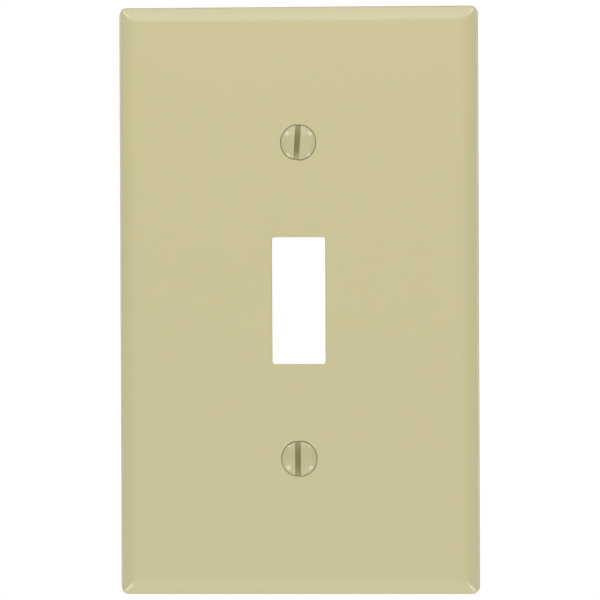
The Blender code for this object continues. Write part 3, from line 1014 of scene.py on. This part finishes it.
# Brightness of the surround along Y: (from, to, at from, at to), and the steps add up.
# It is brightest straight behind the plate and straight behind the camera.
WORLD_STEPS = ((-0.95, -0.7, 0.34, 0.21), (0.6, 0.85, 0.0, 1.4))
SEEN_WHITE = 1.05           # brightness of the surround where the camera sees it
FLOOR_GLOW = 0.35           # light that the floor gives off, to keep its shade pale
FLOOR_REACH = 20.0          # to the left, the right and the front, in metres
FLOOR_BACK = 2.2            # how far it runs on behind the plate
FLOOR_CURL = 0.02           # radius of the curl at its far edge
FLOOR_COLUMNS, FLOOR_ROWS = 41, 38
# Name, direction from the plate, distance, width and height, and power in watts
LAMPS = (("upper left lamp", (-0.572, -0.588, 0.572), 1.0, (0.15, 0.15), 1.04),
         ("lower left lamp", (-0.560, -0.600, -0.572), 1.0, (0.15, 0.15), 1.02),
         ("upper right lamp", (0.572, -0.588, 0.572), 1.0, (0.15, 0.15), 1.04),
         ("lower right lamp", (0.560, -0.600, -0.572), 1.0, (0.15, 0.15), 1.02),
         ("upper bank", (0.0, -0.59, 0.81), 0.45, (0.4, 0.32), 0.83),
         ("lower bank", (0.0, -0.56, -0.83), 0.38, (0.34, 0.22), 0.12))


def floor_sheet(drop):
    """A level sheet below the plate whose far edge curls down, as a quarter circle."""
    across = np.linspace(-FLOOR_REACH, FLOOR_REACH, FLOOR_COLUMNS)
    depth = np.linspace(-FLOOR_REACH, FLOOR_BACK, FLOOR_ROWS)
    turn = np.linspace(0, math.pi / 2, 10)[1:]
    y = np.concatenate([depth, FLOOR_BACK + FLOOR_CURL * np.sin(turn)])
    fall = np.concatenate([np.zeros(depth.size), FLOOR_CURL * (1 - np.cos(turn))])
    x_grid, y_grid = np.meshgrid(across, y)
    points = place(x_grid, PLATE_LOW.z - drop - fall[:, None], -y_grid)
    data = bpy.data.meshes.new("floor")
    quads = grid_quads(y.size, across.size, False).reshape(-1, 4)
    data.from_pydata(points.reshape(-1, 3).tolist(), [], quads.tolist())
    data.shade_smooth()
    return new_object("floor", data)


def soft_lamp(name, direction, distance, size, power):
    """An area lamp aimed at the plate's middle, hidden from the camera."""
    lamp_data = bpy.data.lights.new(name, "AREA")
    lamp_data.shape = "RECTANGLE"
    lamp_data.size, lamp_data.size_y = size
    lamp_data.energy = power
    lamp = new_object(name, lamp_data)
    way = Vector(direction).normalized()
    lamp.location = way * distance
    lamp.rotation_euler = way.to_track_quat("Z", "Y").to_euler()
    lamp.visible_camera = False


def studio_world():
    """A plain white surround, dimmer at the sides than ahead and behind."""
    world = bpy.data.worlds.new("studio")
    world.use_nodes = True
    tree = world.node_tree
    place_node = add_node(tree, "ShaderNodeTexCoord")
    split = add_node(tree, "ShaderNodeSeparateXYZ")
    tree.links.new(place_node.outputs["Generated"], split.inputs[0])
    levels = []
    for values in WORLD_STEPS:
        ends = dict(zip(("From Min", "From Max", "To Min", "To Max"), values))
        step = add_node(tree, "ShaderNodeMapRange", interpolation_type="SMOOTHSTEP", **ends)
        tree.links.new(split.outputs["Y"], step.inputs["Value"])
        levels.append(step.outputs["Result"])
    light = tree.nodes["Background"]
    tree.links.new(calculate(tree, "ADD", *levels), light.inputs["Strength"])
    seen = add_node(tree, "ShaderNodeBackground", Strength=SEEN_WHITE)
    for background in (light, seen):
        background.inputs["Color"].default_value = (1.0, 1.0, 1.0, 1.0)
    path = add_node(tree, "ShaderNodeLightPath")
    choose = add_node(tree, "ShaderNodeMixShader")
    sources = (path.outputs["Is Camera Ray"], light.outputs[0], seen.outputs[0])
    for source, socket in zip(sources, choose.inputs):
        tree.links.new(source, socket)
    tree.links.new(choose.outputs[0], tree.nodes["World Output"].inputs["Surface"])
    bpy.context.scene.world = world


def studio_camera(stage):
    """Camera in front of the plate: it looks along +Y, then pans, tilts and rolls."""
    camera_data = bpy.data.cameras.new("camera")
    camera_data.lens = stage.focal_length
    camera_data.sensor_width = 36.0
    camera_data.clip_start = 0.01
    camera = new_object("camera", camera_data)
    turned = (Matrix.Rotation(stage.camera_pan, 4, "Z")
              @ Matrix.Rotation(stage.camera_tilt, 4, "X")
              @ Matrix.Rotation(stage.camera_roll, 4, "Y")
              @ Matrix.Rotation(math.pi / 2, 4, "X"))
    spot = Vector((stage.camera_right, -stage.camera_distance, stage.camera_up))
    camera.matrix_world = Matrix.Translation(spot) @ turned
    bpy.context.scene.camera = camera


# ---------------------------------------------------------------------------
# Operators, panel and registration
# ---------------------------------------------------------------------------

class MakeCover(bpy.types.Operator):
    """Build the moulded cover plate"""
    bl_idname = "cover_plate.make_cover"
    bl_label = "Make the cover plate"

    def execute(self, context):
        cover = cover_plate(context.scene.cover_plate_sizes)
        cover.data.materials.append(ivory_plastic(context.scene.finish_colours))
        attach(cover, "plate")
        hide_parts("wall_plate")
        return {"FINISHED"}


class MakeScrews(bpy.types.Operator):
    """Build both oval-head screws"""
    bl_idname = "cover_plate.make_screws"
    bl_label = "Make the screws"

    def execute(self, context):
        sizes = context.scene.screw_sizes
        steel = painted_steel(context.scene.finish_colours, DEPTH + sizes.proud)
        slots = {"upper_screw": (sizes.upper_turn, sizes.upper_offset),
                 "lower_screw": (sizes.lower_turn, sizes.lower_offset)}
        for body, (turn, offset) in slots.items():
            screw = oval_head_screw(f"{body}_finished", body, sizes, turn, offset)
            screw.data.materials.append(steel)
            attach(screw, body)
            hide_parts(body)
        return {"FINISHED"}


class MakeStage(bpy.types.Operator):
    """Lay the floor, hang the lamps and set the camera"""
    bl_idname = "cover_plate.make_stage"
    bl_label = "Make the studio"

    def execute(self, context):
        stage = context.scene.stage_settings
        floor = floor_sheet(stage.floor_drop)
        floor.data.materials.append(floor_card(context.scene.finish_colours))
        for lamp in LAMPS:
            soft_lamp(*lamp)
        studio_world()
        studio_camera(stage)
        context.scene.view_settings.view_transform = "Standard"
        return {"FINISHED"}


class CoverPlatePanel(bpy.types.Panel):
    """Every size and colour, with a button under the settings that a piece is made from"""
    bl_idname = "VIEW3D_PT_cover_plate"
    bl_label = "Cover plate"
    bl_space_type = "VIEW_3D"
    bl_region_type = "UI"
    bl_category = "Cover plate"

    def draw(self, context):
        for settings, operator in PANEL_ROWS:
            box = self.layout.box()
            group = getattr(context.scene, settings)
            for name in group.bl_rna.properties.keys():
                if name not in {"rna_type", "name"}:
                    box.prop(group, name)
            if operator:
                box.operator(operator)


PANEL_ROWS = (("cover_plate_sizes", MakeCover.bl_idname),
              ("screw_sizes", MakeScrews.bl_idname),
              ("finish_colours", None),
              ("stage_settings", MakeStage.bl_idname))
SETTINGS = {"cover_plate_sizes": CoverPlateSizes, "screw_sizes": ScrewSizes,
            "finish_colours": FinishColours, "stage_settings": StageSettings}
CLASSES = (*SETTINGS.values(), MakeCover, MakeScrews, MakeStage, CoverPlatePanel)


def register():
    for item in CLASSES:
        bpy.utils.register_class(item)
    for name, settings in SETTINGS.items():
        setattr(bpy.types.Scene, name, PointerProperty(type=settings))


def unregister():
    for name in SETTINGS:
        delattr(bpy.types.Scene, name)
    for item in reversed(CLASSES):
        bpy.utils.unregister_class(item)


def main():
    register()
    bpy.ops.cover_plate.make_cover()
    bpy.ops.cover_plate.make_screws()
    bpy.ops.cover_plate.make_stage()


if __name__ == "__main__":
    main()
